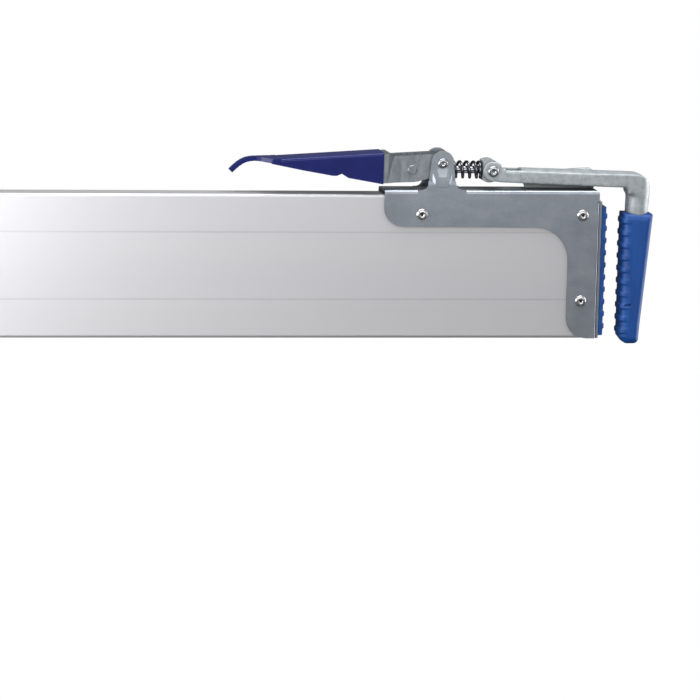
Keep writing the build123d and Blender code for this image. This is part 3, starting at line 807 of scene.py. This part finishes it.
    def build(self) -> None:
        """Build the hook's pieces."""
        slider, arm = self.body("slider"), self.body("arm")
        softened_node(
            self.node("trunnion_block"), GALVANISED_CASTING, slider,
            self.block_edge, self.block_edge_faces,
        )
        pins = [
            turned(
                self.pin_profile, self.at(*self.arm_pin, facing * self.fork_face), Vector((0, facing, 0))
            )
            for facing in (-1, 1)
        ]
        place_piece(
            self.node("arm_pin_heads"), to_mesh(join(pins), self.end.turn), TURNED_ZINC,
            slider,
            [self.node("arm_pins")],
        )
        cast_node(
            self.node("hook_arm"), GALVANISED_CASTING, arm,
            self.arm_voxel, self.arm_rounds, self.shape_arm,
        )
        cast_node(
            self.node("claw_sleeve"), MOULDED_RUBBER, arm,
            self.sleeve_voxel, self.sleeve_rounds,
        )


# --------------------------------------------------------------------------- stage


@dataclass(frozen=True)
class Lamp:
    """A soft rectangular lamp, placed in metres from the right bracket's end face."""

    name: str
    place: Triple
    size: Point
    watts: float
    target: Triple

    def build(self, end_face: float) -> None:
        """Add the lamp.

        Args:
            end_face: x of the right bracket's end face, in metres.
        """
        data = bpy.data.lights.new(self.name, "AREA")
        data.shape = "RECTANGLE"
        data.size, data.size_y = self.size
        data.energy = self.watts
        lamp = bpy.data.objects.new(self.name, data)
        offset = Vector((end_face, 0, 0))
        lamp.location = Vector(self.place) + offset
        lamp.rotation_mode = "QUATERNION"
        lamp.rotation_quaternion = (Vector(self.target) - Vector(self.place)).to_track_quat("-Z", "Y")
        bpy.context.scene.collection.objects.link(lamp)


@dataclass
class Studio:
    """Camera, floor and soft light. The camera looks at the right-hand clamp from afar."""

    yaw: float = 11.5
    pitch: float = 8.5
    view_width: float = 726.141
    distance: float = 9.0
    sensor: float = 36.0
    clip: Point = (0.1, 100.0)
    aim_right: float = 259.3
    aim_up: float = 160.3
    floor_z: float = -0.30
    floor_half: float = 60.0
    front_level: float = 0.52
    back_level: float = 0.12
    level_span: Point = (0.5, -0.4)
    anchor: Triple = (0.0, -17.5, 150.0)
    lamps: tuple[Lamp, ...] = (
        Lamp("left key", (-0.85, -0.65, 0.22), (0.5, 0.5), 4.4, (-0.6, 0.0, 0.08)),
        Lamp("left strip", (-1.5, -0.35, 0.15), (0.4, 0.6), 5.0, (-0.2, 0.0, 0.1)),
        Lamp("overhead", (-0.25, -0.15, 1.4), (1.6, 0.5), 17.0, (-0.25, 0.0, 0.15)),
        Lamp("right strip", (0.8, 0.08, 0.15), (0.5, 0.8), 6.0, (0.05, 0.0, 0.12)),
        Lamp("front fill", (0.1, -1.6, 0.5), (1.0, 0.8), 4.5, (-0.1, 0.0, 0.1)),
    )

    def camera(self, end_face: float) -> None:
        """Place a long-lens camera whose picture keeps the plank level.

        Args:
            end_face: x of the right bracket's end face, in metres.
        """
        yaw, pitch = math.radians(self.yaw), math.radians(self.pitch)
        look = Vector(
            (math.sin(yaw) * math.cos(pitch), math.cos(yaw) * math.cos(pitch), -math.sin(pitch))
        )
        along = Vector((1, 0, 0))
        right = (along - look * along.dot(look)).normalized()
        up = right.cross(look)
        x, y, z = self.anchor
        seen = Vector((end_face + x * MM, y * MM, z * MM))
        aim = seen - right * self.aim_right * MM - up * self.aim_up * MM
        data = bpy.data.cameras.new("camera")
        data.sensor_width = self.sensor
        data.lens = self.distance * self.sensor / (self.view_width * MM)
        data.clip_start, data.clip_end = self.clip
        camera = bpy.data.objects.new("camera", data)
        turn = Matrix((right, up, -look)).transposed().to_4x4()
        camera.matrix_world = Matrix.Translation(aim - look * self.distance) @ turn
        bpy.context.scene.collection.objects.link(camera)
        bpy.context.scene.camera = camera

    def floor(self) -> None:
        """Lay a floor that the camera sees white, and that bounces little light onto the plank."""
        work = bmesh.new()
        bmesh.ops.create_grid(work, x_segments=1, y_segments=1, size=self.floor_half)
        bmesh.ops.translate(work, vec=(0, 0, self.floor_z), verts=work.verts)
        mesh = bpy.data.meshes.new("floor")
        work.to_mesh(mesh)
        work.free()
        material = bpy.data.materials.new("white floor paper")
        material.use_nodes = True
        tree = material.node_tree
        tree.nodes.clear()
        paper = add_node(tree, "ShaderNodeBsdfDiffuse", {"Color": linear("5c5c5c"), "Roughness": 0.9})
        glow = add_node(tree, "ShaderNodeEmission", {"Color": linear("ffffff"), "Strength": 1.0})
        ray = add_node(tree, "ShaderNodeLightPath")
        shaders = {0: (ray, "Is Camera Ray"), 1: (paper, "BSDF"), 2: (glow, "Emission")}
        seen = add_node(tree, "ShaderNodeMixShader", None, shaders)
        add_node(tree, "ShaderNodeOutputMaterial", None, {"Surface": (seen, "Shader")})
        mesh.materials.append(material)
        floor = bpy.data.objects.new("floor", mesh)
        bpy.context.scene.collection.objects.link(floor)

    def room(self) -> None:
        """Light the room: bright in front, dim behind, and white where the camera looks past the plank."""
        world = bpy.data.worlds.new("white room")
        world.use_nodes = True
        tree = world.node_tree
        tree.nodes.clear()
        where = add_node(tree, "ShaderNodeTexCoord")
        axes = add_node(tree, "ShaderNodeSeparateXYZ", None, {"Vector": (where, "Generated")})
        front = remap(tree, (axes, "Y"), self.level_span, (self.back_level, self.front_level))
        ray = add_node(tree, "ShaderNodeLightPath")
        level = add_node(
            tree,
            "ShaderNodeMix",
            {3: 1.0},
            {0: (ray, "Is Camera Ray"), 2: front},
            data_type="FLOAT",
        )
        sky = add_node(tree, "ShaderNodeBackground", {"Color": (1, 1, 1, 1)}, {"Strength": (level, 0)})
        add_node(tree, "ShaderNodeOutputWorld", None, {"Surface": (sky, "Background")})
        bpy.context.scene.world = world

    def build(self, end_face: float) -> None:
        """Set the stage.

        Args:
            end_face: x of the right bracket's end face, in metres.
        """
        self.camera(end_face)
        self.floor()
        self.room()
        bpy.context.scene.view_settings.view_transform = "Standard"
        for lamp in self.lamps:
            lamp.build(end_face)


def main() -> None:
    """Build every sub-assembly, then the stage."""
    logging.basicConfig(level=logging.INFO, format="%(name)s %(message)s")
    Plank().build()
    for end in End:
        for part in (Bracket, LeverSet, DrawGear, Hook):
            part(end).build()
    Studio().build(Bracket(End.RIGHT).end_face)


if __name__ == "__main__":
    main()
